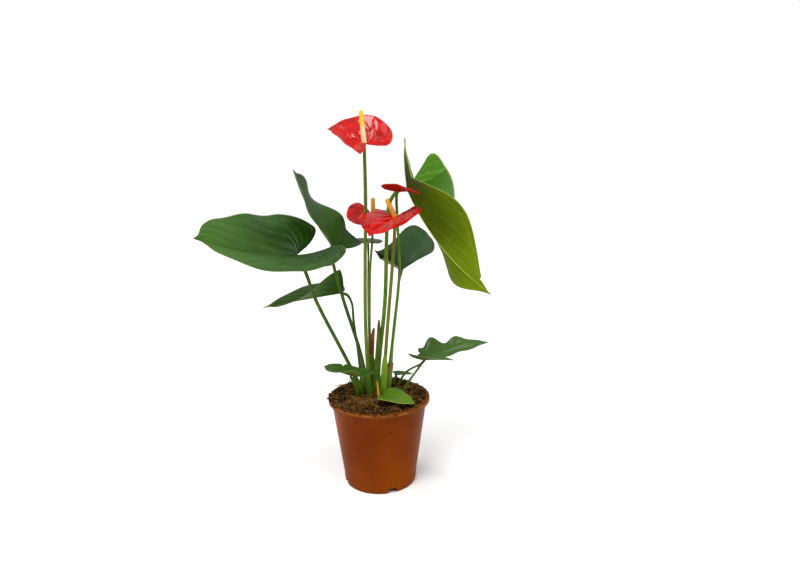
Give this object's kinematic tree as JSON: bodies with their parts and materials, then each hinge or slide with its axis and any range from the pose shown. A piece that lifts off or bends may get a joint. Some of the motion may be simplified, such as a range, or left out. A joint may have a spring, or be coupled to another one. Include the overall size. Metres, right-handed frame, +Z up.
{
  "type": "potted anthurium",
  "caption": "Young flamingo plant with heart-shaped leaves on long stems, blistered spathes with upright spadices, and soil in a round nursery pot.",
  "frame": {"origin": "Centre of the underside of the pot's foot, on the surface it stands on.", "axes": "+Z is up. The front, from which the blooms are seen best, faces -Y. +X is to the viewer's right."},
  "size_m": [0.2982, 0.2235, 0.4298],
  "materials": {
    "pot_plastic": "satin brown plastic",
    "soil": "loose dark peat with straw fibres",
    "root": "pale brown woody crown and roots",
    "leaf": "glossy dark green, paler underneath, with raised veins",
    "stem": "satin yellow-green",
    "sheath_dry": "papery rust-brown",
    "spathe": "lacquered red with raised blisters between the veins",
    "spadix": "yellow with small florets, paler at its foot"
  },
  "bodies": {
    "root": {"leaf_1_blade": "leaf", "leaf_1_petiole": "stem", "leaf_2_blade": "leaf", "leaf_2_petiole": "stem", "leaf_3_blade": "leaf", "leaf_3_petiole": "stem", "leaf_4_blade": "leaf", "leaf_4_petiole": "stem", "leaf_5_blade": "leaf", "leaf_5_petiole": "stem", "leaf_6_blade": "leaf", "leaf_6_petiole": "stem", "low_leaf_left_blade": "leaf", "low_leaf_left_petiole": "stem", "low_leaf_front_blade": "leaf", "low_leaf_front_petiole": "stem", "low_leaf_right_blade": "leaf", "low_leaf_right_petiole": "stem", "low_leaf_curled_blade": "leaf", "low_leaf_curled_petiole": "stem", "short_leaf_back_blade": "leaf", "short_leaf_back_petiole": "stem", "short_leaf_front_blade": "leaf", "short_leaf_front_petiole": "stem", "bloom_top_spathe": "spathe", "bloom_top_peduncle": "stem", "bloom_top_spadix": "spadix", "bloom_middle_spathe": "spathe", "bloom_middle_peduncle": "stem", "bloom_middle_spadix": "spadix", "bloom_side_spathe": "spathe", "bloom_side_peduncle": "stem", "bloom_side_spadix": "spadix", "bloom_back_spathe": "spathe", "bloom_back_peduncle": "stem", "bloom_back_spadix": "spadix", "sheath_rust": "sheath_dry", "sheath_olive": "stem", "sheath_green": "stem", "sheath_straw": "stem", "sheath_young": "sheath_dry", "pot": "pot_plastic", "crown": "root", "soil": "soil"}
  },
  "joints": []
}
